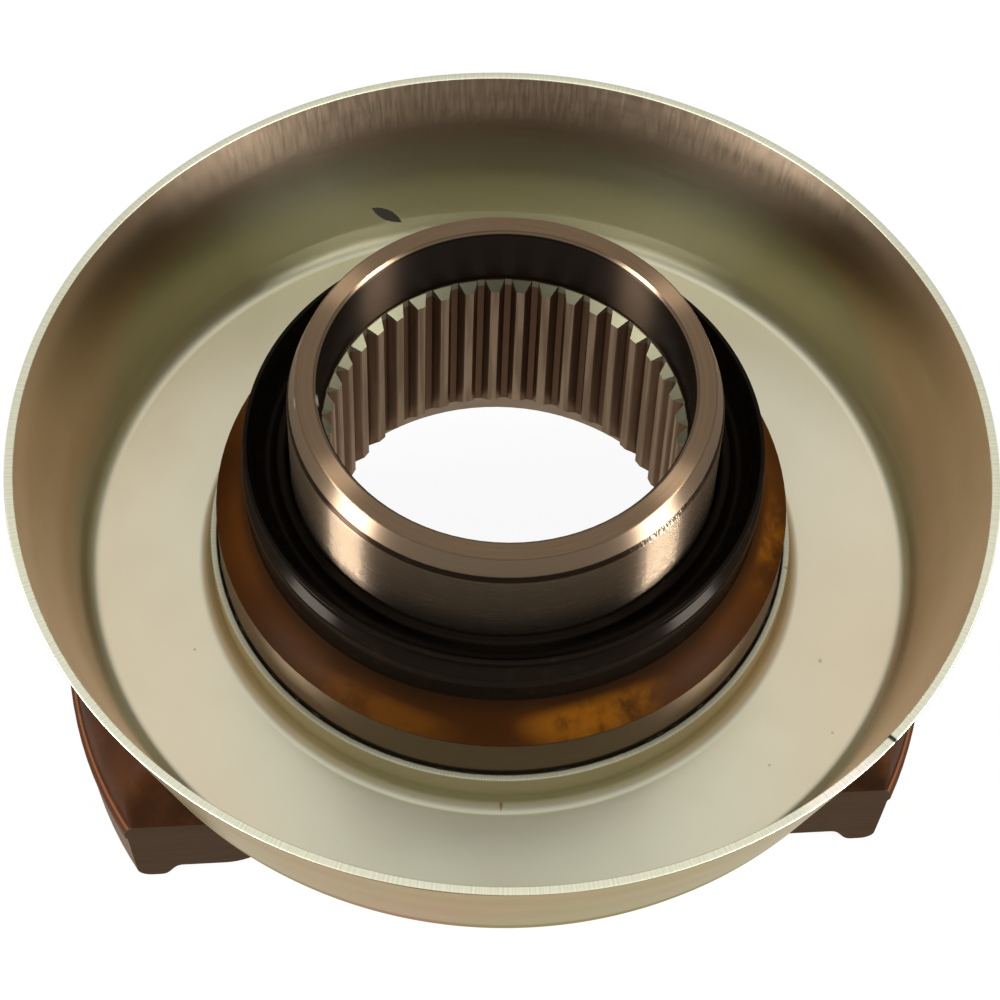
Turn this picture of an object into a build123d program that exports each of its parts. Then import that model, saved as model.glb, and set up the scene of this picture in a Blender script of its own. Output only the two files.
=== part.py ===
from build123d import *
import os
from math import acos, cos, pi, radians, sin, sqrt, tan

# An end yoke for a half-round universal joint, with its dust shield and seal
# ring. Millimetres. Z runs along the shaft, with 0 at the plane of the lug
# ends, and X runs through the two bearing seats.

# Internal involute spline
spline_teeth = 41
spline_module = 1.5875
spline_pressure_angle = 30.0
spline_tip = 0.5
spline_root = 0.675
spline_turn = 5.8

# Hub, from the bore outwards
pilot_relief = 0.385
journal_wall = 5.69
seal_shelf_width = 8.71
cove_run = 5.7
shoulder_width = 5.9
nut_seat_width = 7.385

# Hub, from the web upwards
web_height = 37.8
web_thickness = 8.5
land_length = 19.9
cove_rise = 6.2
journal_length = 25.4
lead_in_length = 5.4
lead_in_drop = 1.69
lead_in_heel_length = 1.6
lead_in_heel_drop = 0.39
nose_edge = 0.5
cove_hollow = 0.5
mouth_chamfer = 0.8
pilot_depth = 13.1
nut_recess_depth = 13.7
journal_root = 0.8
seal_seat_step = 0.15
seal_seat_margin = 0.8
seal_seat_lead = 1.6
land_root = 2.0
web_edge = 6.0

# Ears and lugs
cap_diameter = 49.2
lug_to_lug = 154.8
lug_height = 3.6
lug_thickness = 7.6
lug_toe = 3.9
lug_nose = 2.5
seat_length = 29.9
ear_width = 85.2
ear_draft = 18.0
face_draft = 3.3
face_height = 15.5
flash_width = 0.45
flash_height = 1.8
flash_step = 1.0
flash_bevel = 1.7
crown_curve = 2.2
crown_corner_low = 0.8
crown_corner_high = 12.0
crown_steps = 5
throat_round = 20.0
throat_mouth = 9.0

# Strap bolt holes
bolt_spacing = 67.0
bolt_inset = 14.9
bolt_hole_diameter = 8.5
bolt_hole_depth = 19.0
bolt_countersink = 0.8
drill_point_angle = 118.0

# Dust shield
sheet = 1.6
shield_fit = 0.02
cup_floor_width = 26.7
cup_height = 37.3
cup_flare = 11.2
cup_bend = 3.0
collar_height = 10.1
collar_bend = 2.0
collar_lead = 0.9

# Seal ring
seal_fit = 0.05
seal_height = 12.8
seal_lip = 1.0
seal_foot_inset = 0.2
seal_root_relief = 0.2
seal_crest_height = 9.5
seal_crest_width = 1.5
seal_crest_round = 0.6
seal_flare = 1.15
seal_bowl_height = 4.2
seal_bowl_lean = 0.5
seal_bowl_round = 1.5
seal_waist = 0.8
seal_waist_inset = 1.5
seal_waist_height = 9.3
seal_bead = 0.4
seal_bead_top = 7.6
seal_bead_height = 2.5
seal_bead_round = 0.8

# How far a cut runs on past the face that it opens
cut_over = 1.0

# Radii that follow from the sizes above
pitch_radius = spline_teeth * spline_module / 2
base_circle = pitch_radius * cos(radians(spline_pressure_angle))
tip_radius = pitch_radius - spline_tip * spline_module
root_radius = pitch_radius + spline_root * spline_module
pilot_radius = root_radius + pilot_relief
journal_radius = pilot_radius + journal_wall
nose_radius = journal_radius - lead_in_drop
seat_radius = journal_radius + seal_seat_step
seal_shelf_radius = journal_radius + seal_shelf_width
land_radius = seal_shelf_radius + cove_run
web_radius = land_radius + shoulder_width
nut_recess_radius = root_radius + nut_seat_width

# Heights that follow
shoulder_z = web_height + web_thickness
cove_z = shoulder_z + land_length
seal_z = cove_z + cove_rise
lead_in_z = seal_z + journal_length
top_z = lead_in_z + lead_in_length
pilot_floor_z = top_z - pilot_depth
nut_seat_z = web_height + nut_recess_depth
tooth_height = root_radius - tip_radius

# Ear positions that follow
crown_z = face_height + flash_step + flash_height + flash_bevel
lug_face = lug_to_lug / 2
throat_face = lug_face - seat_length
ear_radius = lug_face + lug_thickness
face_top_radius = ear_radius + face_height * tan(radians(face_draft))
flash_radius = face_top_radius + flash_width
bolt_x = lug_face - bolt_inset


# A ring from its half section, given as radius and height
def turned(outline):
    return revolve(Plane.XZ * make_face(outline), axis=Axis.Z)


# A bar along Y from its section, given as X and height
def along_y(outline, length):
    return extrude(Plane.XZ * make_face(outline), amount=length / 2, both=True)


# The middle of a shallow arc that bulges to the left of the way from start to end
def bulge_point(start, end, height):
    run = end[0] - start[0]
    rise = end[1] - start[1]
    length = sqrt(run * run + rise * rise)
    x = (start[0] + end[0]) / 2 - rise / length * height
    z = (start[1] + end[1]) / 2 + run / length * height
    return (x, z)


def polar(radius, angle):
    return (radius * cos(angle), radius * sin(angle))


def involute(angle):
    return tan(angle) - angle


# Half the angle that a space of the spline spans at a radius
def space_half_angle(radius):
    here = involute(acos(base_circle / radius))
    at_pitch = involute(radians(spline_pressure_angle))
    return pi / (2 * spline_teeth) + at_pitch - here


# The bore with all its spline spaces, as one toothed bar
def spline_spaces():
    pitch_angle = 2 * pi / spline_teeth
    middle_radius = (tip_radius + root_radius) / 2
    radii = (tip_radius, middle_radius, root_radius)
    edges = []
    for space in range(spline_teeth):
        centre = radians(spline_turn) + space * pitch_angle
        rising = [polar(r, centre - space_half_angle(r)) for r in radii]
        falling = [polar(r, centre + space_half_angle(r)) for r in reversed(radii)]
        next_rise = polar(tip_radius, centre + pitch_angle - space_half_angle(tip_radius))
        tooth_middle = polar(tip_radius, centre + pitch_angle / 2)
        edges.append(ThreePointArc(*rising))
        edges.append(ThreePointArc(rising[2], polar(root_radius, centre), falling[0]))
        edges.append(ThreePointArc(*falling))
        edges.append(ThreePointArc(falling[2], tooth_middle, next_rise))
    length = pilot_floor_z - nut_seat_z
    return Pos(0, 0, nut_seat_z) * extrude(make_face(edges), amount=length)


# The turned outside of the hub, on its web. The seal ring's seat is a little
# larger than the ground journal above it, with a long lead, so that the ring
# slides on freely
def hub():
    cove_foot = (land_radius, cove_z)
    cove_head = (seal_shelf_radius, seal_z)
    seat_z = seal_z + seal_bowl_height + seal_seat_margin
    lower = FilletPolyline(
        (0, web_height),
        (web_radius, web_height),
        (web_radius, shoulder_z),
        (land_radius, shoulder_z),
        cove_foot,
        radius=(web_edge, 0, land_root),
    )
    cove = ThreePointArc(cove_foot, bulge_point(cove_foot, cove_head, cove_hollow), cove_head)
    upper = FilletPolyline(
        cove_head,
        (seat_radius, seal_z),
        (seat_radius, seat_z),
        (journal_radius, seat_z + seal_seat_lead),
        (journal_radius, lead_in_z),
        (journal_radius - lead_in_heel_drop, lead_in_z + lead_in_heel_length),
        (nose_radius, top_z),
        (0, top_z),
        radius=(journal_root, 0, 0, 0, 0, nose_edge),
    )
    inside = Line((0, top_z), (0, web_height))
    return turned(lower + cove + upper + inside)


# Pilot counterbore, minor diameter with bevelled tooth ends, and nut recess
def bores():
    return turned(
        Polyline(
            (0, top_z + cut_over),
            (pilot_radius + mouth_chamfer + cut_over, top_z + cut_over),
            (pilot_radius, top_z - mouth_chamfer),
            (pilot_radius, pilot_floor_z),
            (root_radius, pilot_floor_z),
            (tip_radius, pilot_floor_z - tooth_height),
            (tip_radius, nut_seat_z + tooth_height),
            (root_radius, nut_seat_z),
            (nut_recess_radius, nut_seat_z),
            (nut_recess_radius, 0),
            (0, 0),
            (0, top_z + cut_over),
        )
    )


# The round outer form of the ears below the crown: lug, drafted face and the
# trimmed flash line with its bevel
def ear_rim():
    flash_z = face_height + flash_step
    toe_start = (lug_face, lug_height)
    toe_end = (lug_face + lug_toe, 0)
    toe = Bezier(
        toe_start,
        (lug_face + lug_toe / 2, lug_height),
        (lug_face + lug_toe / 2, 0),
        toe_end,
    )
    face = FilletPolyline(
        toe_end,
        (ear_radius, 0),
        (face_top_radius, face_height),
        radius=(lug_nose,),
    )
    ridge = Polyline(
        (face_top_radius, face_height),
        (flash_radius, flash_z),
        (flash_radius, flash_z + flash_height),
        (ear_radius, crown_z),
        (0, crown_z),
        (0, lug_height),
        toe_start,
    )
    return turned(toe + face + ridge)


# The plan of both ears at a share of the crown's height: two round ends and
# two drafted sides, with corners that round off more towards the web
def crown_plan(share):
    rise = share * (shoulder_z - crown_z)
    radius = ear_radius - (ear_radius - web_radius) * share**crown_curve
    half_width = ear_width / 2 - rise * tan(radians(ear_draft))
    corner = crown_corner_low + (crown_corner_high - crown_corner_low) * share
    plan = Circle(radius) & Rectangle(2 * radius + cut_over, 2 * half_width)
    return Pos(0, 0, crown_z + rise) * fillet(plan.vertices(), corner)


# The ears as one bar: upright milled sides, then the forged crown that rolls
# over to the web
def ears():
    sides = Pos(0, 0, crown_z / 2) * Box(2 * flash_radius + cut_over, ear_width, crown_z)
    steps = [step / crown_steps for step in range(crown_steps + 1)]
    crown = loft([crown_plan(share) for share in steps])
    return (ear_rim() & sides) + crown


# The channel between the ears, with rounded roof corners and mouth
def throat():
    mouth = throat_face + throat_mouth + cut_over
    channel = FilletPolyline(
        (mouth, lug_height),
        (throat_face, lug_height),
        (throat_face, web_height),
        (-throat_face, web_height),
        (-throat_face, lug_height),
        (-mouth, lug_height),
        radius=(throat_mouth, throat_round, throat_round, throat_mouth),
    )
    floor = Polyline((-mouth, lug_height), (-mouth, -cut_over), (mouth, -cut_over), (mouth, lug_height))
    return along_y(channel + floor, ear_width + 2 * cut_over)


# Half-round seats for the bearing caps, open downwards and closed by the lugs
def seats():
    bar = Pos(0, 0, lug_height) * Rot(0, 90, 0) * Cylinder(cap_diameter / 2, lug_to_lug)
    way_in = Pos(0, 0, lug_height / 2) * Box(lug_to_lug, cap_diameter, lug_height)
    return bar + way_in


# One blind tapped hole for a strap bolt, with a drill point
def bolt_hole():
    radius = bolt_hole_diameter / 2
    point = radius / tan(radians(drill_point_angle / 2))
    return turned(
        Polyline(
            (0, -cut_over),
            (radius + bolt_countersink + cut_over, -cut_over),
            (radius, bolt_countersink),
            (radius, bolt_hole_depth),
            (0, bolt_hole_depth + point),
            (0, -cut_over),
        )
    )


def end_yoke():
    body = ears() - throat()
    body += hub()
    body -= seats()
    for x in (-bolt_x, bolt_x):
        for y in (-bolt_spacing / 2, bolt_spacing / 2):
            body -= Pos(x, y, lug_height) * bolt_hole()
    body -= bores()
    body -= spline_spaces()
    return body


# The pressed cup, whose collar is turned up round the land of the hub
def dust_shield():
    bore = land_radius + shield_fit
    floor_z = shoulder_z + sheet
    rim_z = shoulder_z + cup_height
    collar_z = shoulder_z + collar_height
    foot = land_radius + cup_floor_width
    rim = foot + cup_flare
    lean = sqrt(cup_flare * cup_flare + cup_height * cup_height) / cup_height
    wall = sheet * lean
    inner_foot = foot + sheet * cup_flare / cup_height - wall
    outline = FilletPolyline(
        (bore, collar_z),
        (bore, shoulder_z),
        (foot, shoulder_z),
        (rim, rim_z),
        (rim - wall, rim_z),
        (inner_foot, floor_z),
        (bore + sheet, floor_z),
        (bore + sheet, collar_z),
        close=True,
        radius=(
            collar_lead,
            collar_bend + sheet,
            cup_bend + sheet,
            0,
            0,
            cup_bend,
            collar_bend,
            0,
        ),
    )
    return turned(outline)


# The moulded ring: foot, bead, waist and thin outer lip, a bowl, and a crest
# that flares off the journal
def seal_ring():
    bore = seat_radius + seal_fit
    foot = seal_shelf_radius - seal_foot_inset
    bead = foot + seal_bead
    bead_foot = seal_bead_top - seal_bead_height
    waist = seal_shelf_radius - seal_waist_inset
    crest = bore + seal_flare
    outline = FilletPolyline(
        (bore, 0),
        (bore, seal_bowl_height),
        (crest, seal_crest_height),
        (crest + seal_crest_width, seal_crest_height),
        (crest + seal_crest_width + seal_bowl_lean, seal_bowl_height),
        (waist - seal_waist, seal_waist_height),
        (seal_shelf_radius - seal_lip, seal_height),
        (seal_shelf_radius, seal_height),
        (waist, seal_waist_height),
        (bead, seal_bead_top),
        (bead, bead_foot),
        (foot, bead_foot - seal_bead),
        (foot, 0),
        close=True,
        radius=(
            journal_root + seal_root_relief,
            0,
            seal_crest_round,
            seal_crest_round,
            seal_bowl_round,
            0,
            0,
            0,
            0,
            seal_bead_round,
            0,
            0,
            0,
        ),
    )
    return Pos(0, 0, seal_z) * turned(outline)


os.makedirs("parts", exist_ok=True)
pieces = {
    "end_yoke": end_yoke(),
    "dust_shield": dust_shield(),
    "seal_ring": seal_ring(),
}
for name, piece in pieces.items():
    export_step(piece, "parts/" + name + ".step")
    print(name, round(piece.volume), piece.bounding_box())
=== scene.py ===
from math import cos, pi, radians, sin, sqrt, tan
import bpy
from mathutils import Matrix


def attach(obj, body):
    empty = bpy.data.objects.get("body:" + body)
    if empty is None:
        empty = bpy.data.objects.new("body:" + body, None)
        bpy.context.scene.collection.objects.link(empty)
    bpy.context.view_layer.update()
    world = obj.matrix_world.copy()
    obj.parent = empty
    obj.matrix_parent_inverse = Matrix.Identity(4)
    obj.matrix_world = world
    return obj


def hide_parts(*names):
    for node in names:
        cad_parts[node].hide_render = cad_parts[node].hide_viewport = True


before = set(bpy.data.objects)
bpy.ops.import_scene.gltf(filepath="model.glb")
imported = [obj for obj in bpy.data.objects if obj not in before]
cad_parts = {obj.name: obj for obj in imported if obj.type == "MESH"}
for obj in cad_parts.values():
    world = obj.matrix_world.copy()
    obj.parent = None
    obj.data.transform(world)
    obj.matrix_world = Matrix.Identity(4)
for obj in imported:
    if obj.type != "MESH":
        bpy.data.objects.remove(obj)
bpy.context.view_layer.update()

from types import SimpleNamespace

import bmesh
import bpy
from mathutils import Matrix, Vector, noise

mm = 0.001


# Every colour is written as a web tone and turned into linear light here
def tone(code):
    steps = [int(code[i:i + 2], 16) / 255 for i in (0, 2, 4)]
    light = [s / 12.92 if s <= 0.04045 else ((s + 0.055) / 1.055) ** 2.4 for s in steps]
    return (*light, 1.0)


# A socket in plain sums: each operator adds its Math node, but none for plus 0 or times 1
class Sock:
    def __init__(self, finish, socket):
        self.finish = finish
        self.socket = socket

    def __add__(self, other):
        return self if other == 0 else self.finish.maths("ADD", self, other)

    def __sub__(self, other):
        return self.finish.maths("SUBTRACT", self, other)

    def __rsub__(self, other):
        return self.finish.maths("SUBTRACT", other, self)

    def __mul__(self, other):
        return self if other == 1 else self.finish.maths("MULTIPLY", self, other)

    def __truediv__(self, other):
        return self.finish.maths("DIVIDE", self, other)

    def __rtruediv__(self, other):
        return self.finish.maths("DIVIDE", other, self)

    def __abs__(self):
        return self.finish.maths("ABSOLUTE", self)

    __radd__ = __add__
    __rmul__ = __mul__


# A material or a sky under construction, and the few nodes that every finish here is made of
class Finish:
    def __init__(self, owner):
        owner.use_nodes = True
        self.owner = owner
        self.tree = owner.node_tree
        self.tree.nodes.clear()

    # any node: its settings first, then the values or links of its sockets
    def add(self, kind, settings=None, values=None, out=0):
        node = self.tree.nodes.new(kind)
        for name, value in (settings or {}).items():
            if name == "stops":
                ramp = node.color_ramp.elements
                for _ in range(len(value) - len(ramp)):
                    ramp.new(0.5)
                for element, (place, colour) in zip(ramp, value):
                    element.position = place
                    element.color = colour
            else:
                setattr(node, name, value)
        for name, value in (values or {}).items():
            if isinstance(value, Sock):
                self.tree.links.new(value.socket, node.inputs[name])
            else:
                node.inputs[name].default_value = value
        return Sock(self, node.outputs[out]) if node.outputs else None

    def maths(self, operation, *values):
        return self.add("ShaderNodeMath", {"operation": operation}, dict(enumerate(values)))

    # the three numbers of a place
    def split(self, where):
        node = self.add("ShaderNodeSeparateXYZ", {}, {"Vector": where}).socket.node
        return [Sock(self, output) for output in node.outputs]

    # where a point lies on its piece: place in metres, the turn round the axis in radians, the others in mm
    def locate(self):
        self.place = self.add("ShaderNodeTexCoord", out="Object")
        self.x, self.y, self.z = (part / mm for part in self.split(self.place))
        self.radius = self.maths("SQRT", self.x * self.x + self.y * self.y)
        self.turn = self.maths("ARCTAN2", self.y, self.x)

    def capped(self, value):
        return self.maths("MINIMUM", value, 1.0)

    # 0 below low and 1 above high, with a soft step between them
    def step(self, value, low, high):
        settings = {"interpolation_type": "SMOOTHSTEP"}
        return self.add("ShaderNodeMapRange", settings, {"Value": value, "From Min": low, "From Max": high})

    # 1 between low and high, with soft ends
    def band(self, value, low, high, soft):
        return self.step(value, low - soft, low + soft) * (1 - self.step(value, high - soft, high + soft))

    # a round or long spot, 1 in its middle: its turn, height, half width and half height
    def spot(self, angle, height, wide, tall):
        along = (self.turn - angle) * self.radius / wide
        beside = (self.z - height) / tall
        return 1 - self.step(along * along + beside * beside, 0.0, 1.0)

    # a place whose numbers are stretched one by one
    def stretched(self, parts, factors):
        scaled = [part * factor for part, factor in zip(parts, factors)]
        return self.add("ShaderNodeCombineXYZ", {}, dict(enumerate(scaled)))

    def cloud(self, where, scale, detail, rough=0.55):
        values = {"Vector": where, "Scale": scale, "Detail": detail, "Roughness": rough}
        return self.add("ShaderNodeTexNoise", {}, values)

    # the colours are sockets or web tones
    def mix(self, share, first, second):
        first, second = (tone(colour) if isinstance(colour, str) else colour for colour in (first, second))
        return self.add("ShaderNodeMix", {"data_type": "RGBA"}, {0: share, 6: first, 7: second}, 2)

    # a coat is a web tone and how much of it shows where the mask is 1
    def coat(self, colour, mask, coat):
        shade, share = coat
        return self.mix(mask * share, colour, shade)

    # a height in mm as a bump
    def relief(self, height, strength=1.0):
        return self.add("ShaderNodeBump", {}, {"Height": height * mm, "Distance": 1.0, "Strength": strength})

    def principled(self, values):
        return self.add("ShaderNodeBsdfPrincipled", {}, values)

    def blend(self, share, first, second):
        return self.add("ShaderNodeMixShader", {}, {0: share, 1: first, 2: second})

    def close(self, shader, output="ShaderNodeOutputMaterial"):
        self.add(output, {}, {"Surface": shader})
        return self.owner


# Camera, set to the viewpoint from which the part is looked into
cameraPlan = {
    "place": (-32.3, -307.0, 526.9),  # mm
    "target": (0.0, 0.0, 83.6),
    "roll": 2.467,  # degrees
    "lens": 105.07,
    "sensor": 36,
    "shift": (-0.004, -0.0566),
    "farthest": 20,  # metres
}


def makeCamera(plan):
    data = bpy.data.cameras.new("camera")
    data.lens = plan["lens"]
    data.sensor_width = plan["sensor"]
    data.shift_x, data.shift_y = plan["shift"]
    data.clip_end = plan["farthest"]
    camera = bpy.data.objects.new("camera", data)
    bpy.context.scene.collection.objects.link(camera)
    place = Vector(plan["place"]) * mm
    ahead = (Vector(plan["target"]) * mm - place).normalized()
    right = ahead.cross(Vector((0, 0, 1))).normalized()
    up = right.cross(ahead)
    roll = radians(plan["roll"])
    newRight = cos(roll) * right + sin(roll) * up
    newUp = cos(roll) * up - sin(roll) * right
    turn = Matrix((newRight, newUp, -ahead)).transposed()
    camera.matrix_world = Matrix.Translation(place) @ turn.to_4x4()
    bpy.context.scene.camera = camera


makeCamera(cameraPlan)
print("camera set")


# Studio: a white floor, a soft sky and two tall strip lamps
studioPlan = {
    "floorSize": 8.0,  # metres
    "floorGlow": 0.93,  # share of the floor that stays white in its shadow
    "floorWhite": 0.85,
    "skyLean": 0.25,  # how much brighter the sky is at the back than at the front
    "sky": [(0.1, 0.34), (0.65, 0.44), (0.84, 0.6), (0.95, 0.95)],  # height, brightness
    "lampTarget": (0.0, 0.0, 0.08),  # metres
    "lamps": [
        # name, azimuth and height in degrees, distance, width and depth in metres, watts
        ("stripLeft", 196, 21, 1.2, 0.34, 0.5, 26.0),
        ("stripRight", -23.5, 21, 1.2, 0.34, 0.5, 26.0),
    ],
}


def makeFloor(plan):
    half = plan["floorSize"] / 2
    corners = [(-half, -half, 0), (half, -half, 0), (half, half, 0), (-half, half, 0)]
    mesh = bpy.data.meshes.new("floor")
    mesh.from_pydata(corners, [], [(0, 1, 2, 3)])
    floor = bpy.data.objects.new("floor", mesh)
    bpy.context.scene.collection.objects.link(floor)

    # the camera and the part's reflections see it almost evenly white, and other light falls on matt paper
    paper = Finish(bpy.data.materials.new("paper"))
    rays = ("Is Camera Ray", "Is Glossy Ray", "Is Transmission Ray")
    seen = paper.capped(sum(paper.add("ShaderNodeLightPath", out=name) for name in rays))
    white = plan["floorWhite"]
    matt = paper.add("ShaderNodeBsdfDiffuse", {}, {"Color": (white, white, white, 1)})
    glow = paper.add("ShaderNodeEmission", {}, {"Color": (1, 1, 1, 1), "Strength": 1.0})
    mesh.materials.append(paper.close(paper.blend(seen * plan["floorGlow"], matt, glow)))


def makeSky(plan):
    world = bpy.data.worlds.new("sky")
    bpy.context.scene.world = world
    sky = Finish(world)
    _, back, up = sky.split(sky.add("ShaderNodeTexCoord", out="Generated"))
    stops = [(place, (level, level, level, 1)) for place, level in plan["sky"]]
    level = sky.add("ShaderNodeValToRGB", {"stops": stops}, {0: up + back * plan["skyLean"]})
    light = sky.add("ShaderNodeBackground", {}, {"Color": level, "Strength": 1.0})
    white = sky.add("ShaderNodeBackground", {}, {"Color": (1, 1, 1, 1), "Strength": 1.0})
    seen = sky.add("ShaderNodeLightPath", out="Is Camera Ray")
    sky.close(sky.blend(seen, light, white), "ShaderNodeOutputWorld")


def makeLamps(plan):
    for name, azimuth, height, distance, width, depth, watts in plan["lamps"]:
        data = bpy.data.lights.new(name, "AREA")
        data.shape = "RECTANGLE"
        data.size = width
        data.size_y = depth
        data.energy = watts
        lamp = bpy.data.objects.new(name, data)
        bpy.context.scene.collection.objects.link(lamp)
        turn, rise = radians(azimuth), radians(height)
        lamp.location = Vector((cos(rise) * cos(turn), cos(rise) * sin(turn), sin(rise))) * distance
        aim = Vector(plan["lampTarget"]) - lamp.location
        lamp.rotation_euler = aim.to_track_quat("-Z", "Y").to_euler()


bpy.context.scene.view_settings.view_transform = "Standard"
makeFloor(studioPlan)
makeSky(studioPlan)
makeLamps(studioPlan)
print("studio set")


# A closed outline of (radius, height, corner) in mm, with each corner rounded
def roundedOutline(points, steps=6):
    outline = []
    for i, (r, z, corner) in enumerate(points):
        here = Vector((r, z))
        if not corner:
            outline.append(here)
            continue
        before = (Vector(points[i - 1][:2]) - here).normalized()
        after = (Vector(points[(i + 1) % len(points)][:2]) - here).normalized()
        half = before.angle(after) / 2
        centre = here + (before + after).normalized() * corner / sin(half)
        start = here + before * corner / tan(half) - centre
        end = here + after * corner / tan(half) - centre
        sweep = start.angle_signed(end)
        for k in range(steps + 1):
            outline.append(centre + Matrix.Rotation(-sweep * k / steps, 2) @ start)
    return outline


# A ring turned from an outline. The burr gives the lift of a point by its radius, height and angle
def turnedRing(name, outline, segments, burr=None, sharpAngle=40):
    mesh = bpy.data.meshes.new(name)
    shape = bmesh.new()
    rings = []
    for k in range(segments):
        angle = 2 * pi * k / segments
        ring = []
        for r, z in outline:
            lift = burr(r, z, angle) if burr else 0.0
            ring.append(shape.verts.new((r * cos(angle) * mm, r * sin(angle) * mm, (z + lift) * mm)))
        rings.append(ring)
    for k in range(segments):
        here, there = rings[k], rings[(k + 1) % segments]
        for i in range(len(outline)):
            j = (i + 1) % len(outline)
            shape.faces.new((here[i], there[i], there[j], here[j]))
    bmesh.ops.recalc_face_normals(shape, faces=shape.faces)
    shape.to_mesh(mesh)
    shape.free()
    for face in mesh.polygons:
        face.use_smooth = True
    mesh.set_sharp_from_angle(angle=radians(sharpAngle))
    piece = bpy.data.objects.new(name, mesh)
    bpy.context.scene.collection.objects.link(piece)
    return piece


# Pressed dust shield in pale passivated sheet, lengths in mm
shieldPlan = {
    "collarBore": 54.12,
    "sheet": 1.6,
    "foot": 80.8,
    "rim": 92.0,
    "footZ": 46.3,
    "rimZ": 83.6,
    "collarZ": 56.4,
    "footBend": 3.0,
    "collarBend": 2.8,
    "edge": 0.25,
    "segments": 480,
    "burr": 0.12,
    "burrReach": 0.3,
    "collarBurr": (60.0, 3.0),  # how fine the noise is, and which layer of it
    "rimBurr": (2.5, 8.0),
    "tones": {
        "plateWarm": "dfd2b6",
        "plateGreen": "dad7be",
        "wallLow": "c0bda0",
        "wallHigh": "dcbfa2",
        "filmPink": "7e5a44",
        "filmGreen": "6b663c",
        "sheared": "e4e3cc",
        "shearedDark": "d4d3bb",
    },
    "coats": {  # tone, share
        "patches": ("a89a76", 0.12),
        "outPatches": ("70603c", 0.6),
        "corner": ("6f6448", 0.08),
        "collar": ("6f6a4e", 0.3),
        "back": ("4a4030", 1.0),
        "flankShade": ("2a2214", 0.6),
        "farFloorLight": ("f4f3de", 0.6),
        "gapShade": ("2a241a", 0.9),
        "ink": ("1c1714", 1.0),
        "nick": ("3a3228", 1.0),
        "rimGlints": ("fff2e2", 1.0),
        "rust": ("8a4a2c", 0.7),
        "specks": ("8f8a70", 0.5),
    },
    "clouds": {  # scale, detail, roughness
        "soft": (14.0, 1.0),
        "patches": (45.0, 2.0, 0.6),
        "streaks": (2.2, 2.0, 0.65),
        "marks": (2.4, 2.0, 0.8),
        "specks": (330.0, 1.0),
        "waves": (1.0, 0.0),
        "brushed": (1.0, 1.0, 0.7),
    },
    "stretch": {  # how fine a cloud is in each of its directions
        "streaks": (0.9, 0.9, 2.0),
        "waves": (1.0, 1.0, 0.11),
        "brushed": (120, 0.15),
    },
    "zones": {  # where a mask begins and where it is full
        "wall": (77.1, 79.1),
        "outside": (0.3, 0.9),
        "inside": (0.9, 1.3),
        "collar": (57.2, 58.6),
        "collarEdge": (55.85, 56.0),
        "rimEdge": (83.3, 83.4),
        "gapShade": (54.55, 54.75),
        "warm": (0.35, 0.9),
        "ears": (0.55, 1.0),
        "pink": (66.0, 77.0),
        "film": (0.4, 0.6),
        "outPatches": (0.35, 0.65),
        "patches": (0.35, 0.75),
        "corner": (76.5, 77.5),
        "back": (10.0, 60.0),
        "backLow": (56.0, 74.0),
        "backHigh": (77.0, 82.0),
        "flankShade": (42.0, 74.0),
        "farFloorLight": (45.0, 110.0),
        "marks": (0.4, 0.62),
        "rimGlints": (0.42, 0.5),
        "specks": (0.79, 0.81),
        "ink": (1.05, 1.2),
        "inkBack": (70.0, 72.0),
        "brushed": (72.0, 78.0),
    },
    "spots": {  # turn in radians, height, half width, half height
        "nick": (-0.806, 83.6, 0.6, 3.0),
        "rimGlints": (-0.95, 83.6, 11.0, 0.6),
        "rust": (-1.635, 48.6, 0.4, 0.7),
    },
    "bands": {  # low, high, soft
        "corner": (48.15, 52.0, 0.15),
        "foot": (48.0, 52.5, 0.6),
    },
    "wallTint": 0.9,
    "drift": {"warm": 0.8, "pink": 8.0, "pinkOverEars": 22.0},  # how far the clouds and ears move the tints
    "backShare": (0.3, 0.006, 0.45),  # in the middle, more for each mm sideways, less at the top
    "ink": {"x": -18.2, "z": 54.4, "way": (0.784, 0.622), "shift": 0.1, "curve": 0.07, "ragged": 0.3},
    "rough": {
        "sheet": 0.28,
        "foot": 0.16,
        "collar": 0.08,
        "streaks": 0.05,
        "sheared": 0.2,
        "brushed": 0.14,
        "ink": 0.2,
    },
    "inkMetal": 0.1,
    "waveHeight": 0.35,
    "paleTint": (1.0, 0.96, 0.88, 1.0),
    "yellowTint": (1.0, 0.88, 0.64, 1.0),
}


# How much wider the wall gets for each mm of height
def wallLean(plan):
    return (plan["rim"] - plan["foot"]) / (plan["rimZ"] - plan["footZ"])


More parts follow.
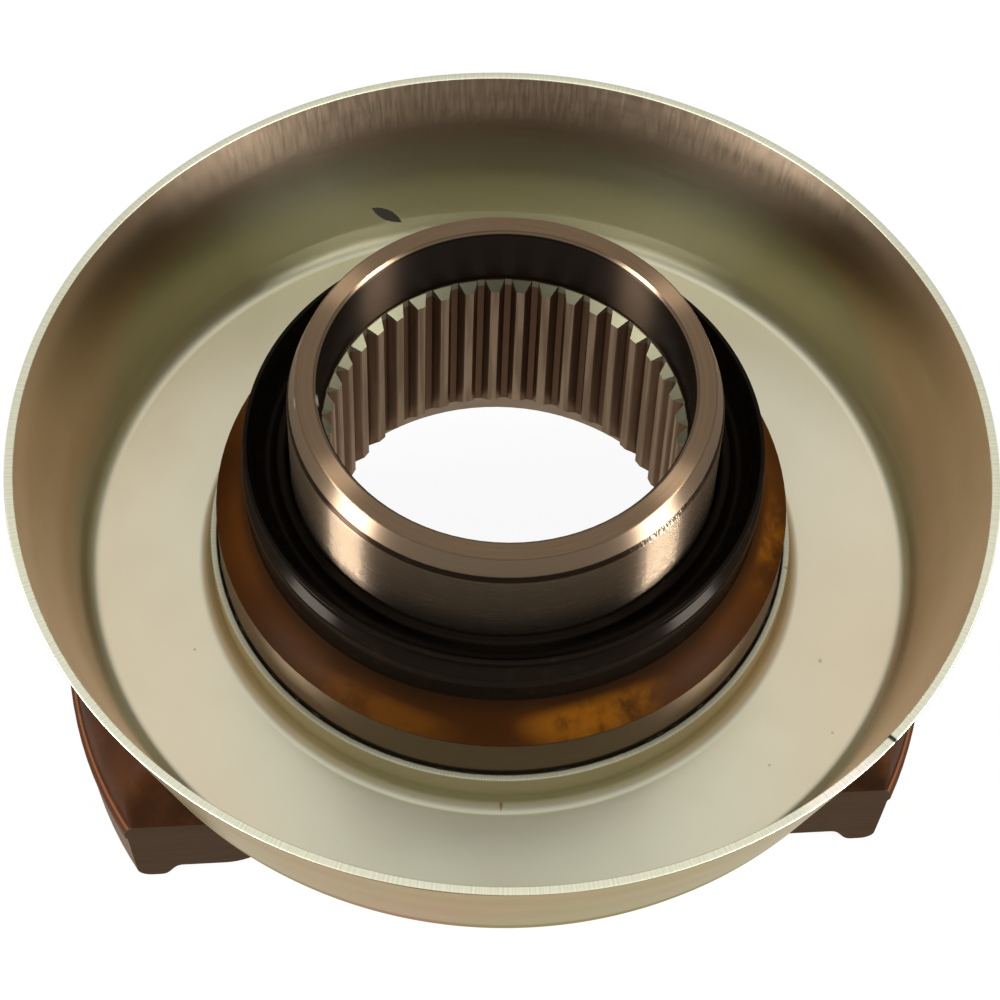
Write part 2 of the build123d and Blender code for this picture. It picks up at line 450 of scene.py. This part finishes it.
def makeShieldFinish(plan):
    f = Finish(bpy.data.materials.new("passivatedZinc"))
    f.locate()
    x, y, z, r = f.x, f.y, f.z, f.radius
    tones, coats, clouds, stretch = plan["tones"], plan["coats"], plan["clouds"], plan["stretch"]
    zones, spots, bands, drift = plan["zones"], plan["spots"], plan["bands"], plan["drift"]
    depth = plan["foot"] + (z - plan["footZ"]) * wallLean(plan) - r  # 0 on the outside of the wall
    wall = f.step(r, *zones["wall"])
    outside = wall * (1 - f.step(depth, *zones["outside"]))
    inside = wall * f.step(depth, *zones["inside"])
    collar = 1 - f.step(r, *zones["collar"])
    soft = f.cloud(f.place, *clouds["soft"])
    patches = f.cloud(f.place, *clouds["patches"])
    streaks = f.cloud(f.stretched((r, z, x / r), stretch["streaks"]), *clouds["streaks"])

    # the film is warmer over the ears, and pink towards the rim
    sideways = abs(x)
    across = sideways / plan["foot"] + (soft - 0.5) * drift["warm"]
    ears = f.step(across, *zones["ears"]) * drift["pinkOverEars"]
    pink = f.step(z + (soft - 0.5) * drift["pink"] + ears, *zones["pink"])
    colour = f.mix(f.step(across, *zones["warm"]), tones["plateGreen"], tones["plateWarm"])
    colour = f.mix(inside * plan["wallTint"], colour, f.mix(pink, tones["wallLow"], tones["wallHigh"]))
    film = f.mix(f.step(soft, *zones["film"]), tones["filmPink"], tones["filmGreen"])
    film = f.coat(film, f.step(patches, *zones["outPatches"]), coats["outPatches"])
    colour = f.mix(outside, colour, film)
    colour = f.coat(colour, f.step(patches, *zones["patches"]), coats["patches"])
    # painted shade: the floor darkened a little in its bend into the wall
    corner = f.band(z, *bands["corner"]) * f.step(r, *zones["corner"]) * inside
    colour = f.coat(colour, corner, coats["corner"])
    # painted shade: the collar and its bend into the floor darkened
    colour = f.coat(colour, collar, coats["collar"])

    # painted shade: browner on the back of the inner wall and on the flanks of its outside; painted light:
    # paler on the floor at the back right
    middle, more, less = plan["backShare"]
    back = f.step(y, *zones["back"]) * f.step(z, *zones["backLow"]) * inside
    back = back * (1 - f.step(z, *zones["backHigh"]) * less) * (middle + sideways * more)
    colour = f.coat(colour, back, coats["back"])
    colour = f.coat(colour, f.step(sideways, *zones["flankShade"]) * outside, coats["flankShade"])
    colour = f.coat(colour, f.step(x + y, *zones["farFloorLight"]) * (1 - wall), coats["farFloorLight"])

    # sheared edges of rim and collar, with fine marks across them, and painted shade in the gap inside the
    # collar
    collarEdge = f.step(z, *zones["collarEdge"]) * collar
    sheared = f.maths("MAXIMUM", f.step(z, *zones["rimEdge"]), collarEdge)
    marks = f.cloud(f.stretched([f.turn], [plan["rim"]]), *clouds["marks"])
    marked = f.mix(f.step(marks, *zones["marks"]), tones["sheared"], tones["shearedDark"])
    colour = f.mix(sheared, colour, marked)
    colour = f.coat(colour, collarEdge * (1 - f.step(r, *zones["gapShade"])), coats["gapShade"])

    # a daub of marking ink on the back of the inner wall
    daub = plan["ink"]
    wayX, wayZ = daub["way"]
    along = (x - daub["x"]) * wayX - (z - daub["z"]) * wayZ
    beside = (x - daub["x"]) * wayZ + (z - daub["z"]) * wayX + daub["shift"]
    lens = abs(beside) + along * along * daub["curve"] + (streaks - 0.5) * daub["ragged"]
    ink = (1 - f.step(lens, *zones["ink"])) * f.step(y, *zones["inkBack"]) * inside
    colour = f.coat(colour, ink, coats["ink"])

    # small marks: a nick in the rim, painted glints on a stretch of the rim's edge, a rusty drop at the
    # collar and specks on the floor
    rimGlints = f.spot(*spots["rimGlints"]) * f.step(marks, *zones["rimGlints"])
    specks = f.step(f.cloud(f.place, *clouds["specks"]), *zones["specks"]) * (1 - wall)
    colour = f.coat(colour, f.spot(*spots["nick"]), coats["nick"])
    colour = f.coat(colour, rimGlints, coats["rimGlints"])
    colour = f.coat(colour, f.spot(*spots["rust"]) * (1 - wall), coats["rust"])
    colour = f.coat(colour, specks, coats["specks"])

    waves = f.cloud(f.stretched((x / r, y / r, z), stretch["waves"]), *clouds["waves"])
    brushed = f.cloud(f.stretched((f.turn, z), stretch["brushed"]), *clouds["brushed"])
    high = inside * f.step(z, *zones["brushed"])
    foot = f.band(z, *bands["foot"]) * wall
    share = plan["rough"]
    rough = share["sheet"] + foot * share["foot"] + collar * share["collar"] + streaks * share["streaks"]
    rough = rough + sheared * share["sheared"] + high * brushed * share["brushed"] + ink * share["ink"]
    values = {
        "Base Color": colour,
        "Metallic": 1 - ink * (1 - plan["inkMetal"]),
        "Roughness": rough,
        "Normal": f.relief(waves * plan["waveHeight"], wall),
    }
    pale = f.principled({**values, "Specular Tint": plan["paleTint"]})
    yellow = f.principled({**values, "Specular Tint": plan["yellowTint"]})
    return f.close(f.blend(outside, pale, yellow))


def makeShield(plan):
    lean = wallLean(plan)
    bore, sheet, edge = plan["collarBore"], plan["sheet"], plan["edge"]
    wall = sheet * sqrt(1 + lean * lean)
    floorZ = plan["footZ"] + sheet
    points = [
        (bore, plan["collarZ"], 0.6),
        (bore, plan["footZ"], plan["collarBend"] + sheet),
        (plan["foot"], plan["footZ"], plan["footBend"] + sheet),
        (plan["rim"], plan["rimZ"], edge),
        (plan["rim"] - wall, plan["rimZ"], edge),
        (plan["foot"] + sheet * lean - wall, floorZ, plan["footBend"]),
        (bore + sheet, floorZ, plan["collarBend"]),
        (bore + sheet, plan["collarZ"], 0.2),
    ]

    # the sheared edges of rim and collar aren't quite even
    def burr(r, z, angle):
        if z > plan["rimZ"] - plan["burrReach"]:
            fine, layer = plan["rimBurr"]
        elif z > plan["collarZ"] - plan["burrReach"] and r < bore + 2 * sheet:
            fine, layer = plan["collarBurr"]
        else:
            return 0.0
        return -plan["burr"] * (1 + noise.noise(Vector((cos(angle) * fine, sin(angle) * fine, layer))))

    shield = turnedRing("pressedShield", roundedOutline(points), plan["segments"], burr)
    shield.data.materials.append(makeShieldFinish(plan))
    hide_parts("dust_shield")
    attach(shield, "root")


makeShield(shieldPlan)
print("shield made")


# Moulded rubber seal ring, lengths in mm
sealPlan = {
    "outline": [  # radius, height, corner
        (39.89, 72.4, 1.0),
        (39.89, 76.6, 0),
        (40.34, 81.9, 0.6),
        (42.24, 81.9, 0.6),
        (42.74, 76.6, 1.5),
        (46.1, 81.7, 0.8),
        (47.4, 85.2, 0.25),
        (48.4, 85.2, 0.25),
        (46.9, 81.7, 0.8),
        (48.6, 80.0, 0.8),
        (48.6, 77.5, 0.3),
        (48.2, 77.1, 0.3),
        (48.2, 72.4, 0.3),
    ],
    "segments": 384,
    "rubber": "110d09",
    "dust": ("261d13", 0.25),  # tone, share
    "dustLevel": (0.52, 0.8),
    "dustCloud": (220.0, 2.0, 0.7),  # scale, detail, roughness
    "softCloud": (30.0, 0.0),
    "rough": {"rubber": 0.1, "soft": 0.08, "dust": 0.06},
    "dustHeight": 0.005,
    "gloss": 0.03,
    "glossTint": (1.0, 0.86, 0.72, 1.0),
}


def makeSealFinish(plan):
    f = Finish(bpy.data.materials.new("mouldedRubber"))
    f.locate()
    dust = f.cloud(f.place, *plan["dustCloud"])
    soft = f.cloud(f.place, *plan["softCloud"])
    share = plan["rough"]
    return f.close(f.principled({
        "Base Color": f.coat(plan["rubber"], f.step(dust, *plan["dustLevel"]), plan["dust"]),
        "Metallic": 0.0,
        "Roughness": share["rubber"] + soft * share["soft"] + dust * share["dust"],
        "Specular IOR Level": plan["gloss"],
        "Specular Tint": plan["glossTint"],
        "Normal": f.relief(dust * plan["dustHeight"]),
    }))


def makeSeal(plan):
    seal = turnedRing("rubberRing", roundedOutline(plan["outline"]), plan["segments"])
    seal.data.materials.append(makeSealFinish(plan))
    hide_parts("seal_ring")
    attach(seal, "root")


makeSeal(sealPlan)
print("seal ring made")


# Forged and machined yoke: one steel, with each face's own finish found by its radius and height, in mm
yokePlan = {
    "topZ": 103.2,
    "pilotZ": 90.1,  # the pilot bore begins above the teeth
    "toothZ": 88.2,  # the teeth's bevelled ends begin
    "seatZ": 51.5,  # the teeth end below, at the nut's seat
    "tip": 31.75,
    "root": 33.62,
    "pilot": 34.0,
    "journal": 39.69,
    "leadInZ": 97.8,
    "coveZ": 72.4,
    "coveR": 47.5,
    "landZ": 66.2,
    "land": 54.1,
    "baseZ": 47.0,
    "earSide": 42.6,
    "crownZ": 20.0,
    "flashLow": 15.7,
    "flashHigh": 19.6,
    "flashR": 84.6,
    "draftR": 82.0,
    "capZ": 3.6,
    "capR": 24.6,
    "capX": 40.0,  # the cap seats reach from here to the lugs' outer faces
    "lugFace": 77.4,
    "nutR": 41.0,
    "nutZ": 30.0,  # below the recess for the nut
    "tones": {
        "bare": "8d7d6a",
        "bareDark": "6c5e4e",
        "forged": "321a08",
        "forgedDark": "1f1006",
        "flash": "603721",
        "flashTrim": "382112",
        "drafted": "5e4a34",
        "milled": "3d2e22",
        "milledDark": "34271c",
        "steel": "8e7c68",
        "steelDark": "786855",
        "turned": "937c65",
        "turnedDark": "70593f",
        "leadIn": "a08c76",
        "heel": "3c3026",
        "amber": "46260a",
        "amberDark": "2b1606",
        "olive": "897b63",
        "oliveDark": "6f5d49",
        "tooth": "8c7862",
        "flank": "6e5542",
        "rootShade": "574130",
        "bevel": "6e6c58",
        "bore": "33291f",
        "boreDark": "221a13",
    },
    "coats": {  # tone, share
        "scale": ("3f230c", 0.4),
        "cutter": ("34271c", 0.7),
        "stains": ("74450c", 0.75),
        "sealShade": ("150d06", 0.75),
        "broach": ("574130", 0.5),
        "jointShade": ("1e1812", 0.85),
        "scored": ("c2ad96", 0.6),
        "dent": ("d8c8b4", 1.0),
    },
    "clouds": {  # scale, detail, roughness
        "big": (28.0, 2.0, 0.6),
        "small": (160.0, 3.0, 0.65),
        "grain": (900.0, 1.0, 0.6),
        "rings": (3.0, 2.0, 0.7),
        "cutter": (1.0, 2.0, 0.7),
        "broach": (0.7, 1.0),
        "scored": (1.0, 1.0, 0.7),
    },
    "stretch": {  # how fine a cloud is in each of its directions
        "cutter": (0.06, 1.0, 1.4),
        "broach": (1.0, 1.0, 0.06),
        "rings": (3.0, 3.0, 1.2),
        "scored": (170, 0.5),
    },
    "zones": {  # where a mask begins and where it is full
        "forged": (0.36, 0.66),
        "scale": (0.5, 0.75),
        "cutter": (0.35, 0.65),
        "amber": (0.3, 0.7),
        "stains": (0.3, 0.62),
        "sealShade": (69.0, 72.4),
        "broach": (0.4, 0.65),
        "jointShade": (56.9, 57.5),
        "scored": (0.52, 0.6),
    },
    "stains": [  # turn in radians, height, half width, half height, share
        (-2.1, 67.3, 19.0, 2.8, 0.4),
        (-1.3, 68.2, 17.0, 3.6, 1.0),
        (-0.3, 68.0, 14.0, 3.0, 1.0),
        (1.7, 67.8, 22.0, 3.2, 1.0),
    ],
    "stainDrift": 0.6,
    "scored": (-0.79, 99.0, 13.0, 2.2),
    "scoreSlant": 40,
    "dent": (-3.08, 102.5, 1.6, 0.5),
    "turnedRough": {"ground": 0.24, "rings": 0.05, "turned": 0.16, "leadIn": 0.1},
    "grooves": 300,  # how fast the noise of the grooves changes along the axis
    "grooveLean": 1.5,  # how far it tips the reflections up and down
    "skinMetal": {"side": 0.5, "drafted": 0.4},
    "skinRough": {"skin": 0.46, "cleared": -0.1, "cove": -0.12, "tooth": 0.02, "side": 0.08, "small": 0.1},
    "skinHeight": {"grain": 0.03, "small": 0.09},
    "gloss": 0.03,
    "glossTint": (1.0, 0.86, 0.72, 1.0),
}


# Where each face lies. Every mask ends some tenths of a mm beyond its face, in the bend to the next one
def findFaces(f, plan):
    x, y, z, r = f.x, f.y, f.z, f.radius
    p = SimpleNamespace(**plan)
    on = SimpleNamespace()
    hub = 1 - f.step(r, p.land + 0.3, p.land + 0.7)
    bore = 1 - f.step(r, p.pilot + 0.2, p.pilot + 0.5)
    on.top = f.step(z, p.topZ - 0.35, p.topZ - 0.15) * hub
    within = 1 - f.step(r, p.journal + 0.26, p.journal + 0.41)
    on.journal = f.step(z, p.coveZ + 0.3, p.coveZ + 0.6) * within * (1 - bore)
    on.leadIn = on.journal * f.step(z, p.leadInZ + 1.5, p.leadInZ + 1.7)
    on.heel = on.journal * f.band(z, p.leadInZ + 0.2, p.leadInZ + 1.6, 0.15)
    on.cove = f.band(z, p.landZ - 0.1, p.coveZ + 0.1, 0.12) * f.step(r, p.coveR, p.coveR + 0.5)
    on.land = f.band(z, p.baseZ, p.landZ - 0.15, 0.2) * f.step(r, p.land - 0.3, p.land - 0.1) * hub
    on.tooth = bore * f.band(z, p.seatZ - 0.2, p.pilotZ - 0.1, 0.15)
    on.bevel = on.tooth * f.step(z, p.toothZ - 0.1, p.toothZ + 0.15)
    on.turned = f.capped(on.journal + on.top + bore * (1 - on.tooth) + on.land)

    low = (1 - f.step(z, p.crownZ - 0.2, p.crownZ + 0.2)) * (1 - hub)
    on.side = low * f.step(abs(y), p.earSide - 0.3, p.earSide - 0.1)
    on.flash = f.band(z, p.flashLow, p.flashHigh, 0.25) * f.step(r, p.flashR, p.flashR + 0.4) * (1 - on.side)
    below = 1 - f.step(z, p.flashLow - 0.3, p.flashLow)
    on.drafted = below * f.step(r, p.draftR, p.draftR + 2) * (1 - on.side)

    # faces cleared to bare metal: the cap seats, the pads beside them and the nut's recess
    lift = z - p.capZ
    around = f.maths("SQRT", y * y + lift * lift)
    reach = f.band(abs(x), p.capX, p.lugFace + 0.1, 0.05)
    capSeat = (1 - f.step(around, p.capR + 0.1, p.capR + 0.25)) * reach
    pad = f.band(z, p.capZ - 0.12, p.capZ + 0.12, 0.05) * reach * (1 - on.side)
    nutSeat = (1 - f.step(r, p.nutR + 0.1, p.nutR + 0.25)) * f.band(z, p.nutZ, p.seatZ + 0.1, 0.1)
    on.cleared = f.maths("MAXIMUM", f.maths("MAXIMUM", capSeat, pad), nutSeat)
    return on


# Forging skin, browned and oily, with bare copper-brown along the trimmed flash, and the broached teeth
def makeSkin(f, plan, on):
    x, y, z, r = f.x, f.y, f.z, f.radius
    tones, coats, zones = plan["tones"], plan["coats"], plan["zones"]
    clouds, stretch = plan["clouds"], plan["stretch"]
    big = f.cloud(f.place, *clouds["big"])
    small = f.cloud(f.place, *clouds["small"])
    grain = f.cloud(f.place, *clouds["grain"])
    skin = f.mix(f.step(big, *zones["forged"]), tones["forged"], tones["forgedDark"])
    skin = f.coat(skin, f.step(small, *zones["scale"]), coats["scale"])
    skin = f.mix(on.drafted, skin, f.mix(small, tones["drafted"], tones["milledDark"]))
    cutter = f.cloud(f.stretched((x, y, z), stretch["cutter"]), *clouds["cutter"])  # runs along the sides
    milled = f.coat(tones["milled"], f.step(cutter, *zones["cutter"]), coats["cutter"])
    skin = f.mix(on.side, skin, milled)
    flashLow, flashHigh = plan["flashLow"], plan["flashHigh"]
    trimmed = f.band(z, flashLow + 0.1, flashLow + 0.6, 0.15)
    trimmed = trimmed + f.band(z, flashHigh - 0.6, flashHigh - 0.1, 0.15)
    skin = f.mix(on.flash, skin, f.mix(trimmed, tones["flashTrim"], tones["flash"]))

    # amber oil in the cove
    oil = f.mix(f.step(big, *zones["amber"]), tones["amber"], tones["amberDark"])
    stains = f.capped(sum(f.spot(*place) * share for *place, share in plan["stains"]))
    stains = stains * f.step(small + (big - 0.5) * plan["stainDrift"], *zones["stains"])
    oil = f.coat(oil, stains, coats["stains"])
    # painted shade: the top of the cove darkened under the seal ring
    oil = f.coat(oil, f.step(z, *zones["sealShade"]), coats["sealShade"])
    skin = f.mix(on.cove, skin, oil)
    skin = f.mix(on.cleared, skin, f.mix(small, tones["bare"], tones["bareDark"]))

    broach = f.cloud(f.stretched((x, y, z), stretch["broach"]), *clouds["broach"])  # runs along the teeth
    tooth = f.mix(f.step(r, plan["tip"] + 0.15, plan["tip"] + 0.45), tones["tooth"], tones["flank"])
    # painted shade: darkest at the roots between the teeth
    tooth = f.mix(f.step(r, plan["root"] - 0.5, plan["root"] - 0.1), tooth, tones["rootShade"])
    tooth = f.coat(tooth, f.step(broach, *zones["broach"]), coats["broach"])
    tooth = f.mix(on.bevel, tooth, tones["bevel"])
    skin = f.mix(on.tooth, skin, tooth)

    metal, share, height = plan["skinMetal"], plan["skinRough"], plan["skinHeight"]
    rough = share["skin"] + on.cleared * share["cleared"] + on.cove * share["cove"]
    rough = rough + on.tooth * share["tooth"] + on.side * share["side"] + small * share["small"]
    plain = f.capped(on.cove + on.tooth + on.side + on.cleared)
    return f.principled({
        "Base Color": skin,
        "Metallic": f.capped(on.tooth + on.cleared + on.side * metal["side"] + on.drafted * metal["drafted"]),
        "Roughness": rough,
        "Specular IOR Level": plan["gloss"],
        "Specular Tint": plan["glossTint"],
        "Normal": f.relief(grain * height["grain"] + small * height["small"], 1 - plain),
    })


# Turned and ground faces, whose fine grooves run round the axis
def makeTurned(f, plan, on):
    x, z, r = f.x, f.z, f.radius
    tones, coats, zones = plan["tones"], plan["coats"], plan["zones"]
    clouds, stretch = plan["clouds"], plan["stretch"]
    rings = f.cloud(f.stretched((r, z, x / r), stretch["rings"]), *clouds["rings"])
    cut = f.mix(rings, tones["bore"], tones["boreDark"])
    cut = f.mix(on.journal, cut, f.mix(rings, tones["steel"], tones["steelDark"]))
    cut = f.mix(on.leadIn, cut, f.mix(rings, tones["leadIn"], tones["turned"]))
    cut = f.mix(on.heel, cut, tones["heel"])
    cut = f.mix(on.top, cut, f.mix(rings, tones["turned"], tones["turnedDark"]))
    cut = f.mix(on.land, cut, f.mix(rings, tones["olive"], tones["oliveDark"]))
    cut = f.coat(cut, on.land * (1 - f.step(z, *zones["jointShade"])), coats["jointShade"])  # painted shade on the land just above the shield's collar
    slanted = z + f.turn * plan["scoreSlant"]
    lines = f.cloud(f.stretched((f.turn, slanted), stretch["scored"]), *clouds["scored"])
    scored = f.spot(*plan["scored"]) * f.step(lines, *zones["scored"]) * on.journal
    cut = f.coat(cut, scored, coats["scored"])
    cut = f.coat(cut, f.spot(*plan["dent"]), coats["dent"])

    share = plan["turnedRough"]
    rough = share["ground"] + rings * share["rings"]
    rough = rough + (1 - on.journal) * share["turned"] + on.leadIn * share["leadIn"]
    groove = f.add("ShaderNodeTexWhiteNoise", {"noise_dimensions": "1D"}, {"W": z * plan["grooves"]})
    tilt = (groove - 0.5) * plan["grooveLean"] * (on.journal - on.leadIn)
    lean = f.add("ShaderNodeCombineXYZ", {}, {"Z": tilt})
    facing = f.add("ShaderNodeNewGeometry", out="Normal")
    leant = f.add("ShaderNodeVectorMath", {"operation": "ADD"}, {0: facing, 1: lean})
    return f.principled({
        "Base Color": cut,
        "Metallic": 1.0,
        "Roughness": rough,
        "Anisotropic": 1.0,
        "Anisotropic Rotation": 0.25,
        "Normal": f.add("ShaderNodeVectorMath", {"operation": "NORMALIZE"}, {0: leant}),
    })


def makeYokeFinish(plan):
    f = Finish(bpy.data.materials.new("forgedSteel"))
    f.locate()
    on = findFaces(f, plan)
    return f.close(f.blend(on.turned, makeSkin(f, plan, on), makeTurned(f, plan, on)))


yokeSteel = makeYokeFinish(yokePlan)
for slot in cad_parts["end_yoke"].material_slots:
    slot.material = yokeSteel
print("yoke finished")
